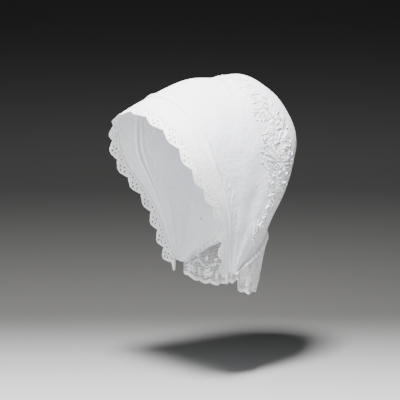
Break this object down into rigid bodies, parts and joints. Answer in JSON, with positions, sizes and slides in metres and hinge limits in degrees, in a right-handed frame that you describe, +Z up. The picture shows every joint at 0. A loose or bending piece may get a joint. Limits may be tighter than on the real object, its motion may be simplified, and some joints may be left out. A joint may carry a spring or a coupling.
{
  "type": "cotton bonnet",
  "caption": "White embroidered cotton bonnet with a scalloped eyelet edging round the face and a lace flounce over the nape.",
  "frame": {"origin": "inside of the crown where it rests on the top of the head", "axes": "+Z up as worn, -Y the way the wearer faces, +X the wearer's left"},
  "size_m": [0.1764, 0.2489, 0.2874],
  "materials": {
    "cotton": "matte",
    "band": "matte",
    "eyelet_lace": "matte",
    "net_lace": "matte"
  },
  "bodies": {
    "root": {"crown": "cotton", "front_band": "band", "front_lace": "eyelet_lace", "neck_casing": "cotton", "neck_lace": "net_lace"}
  },
  "joints": []
}
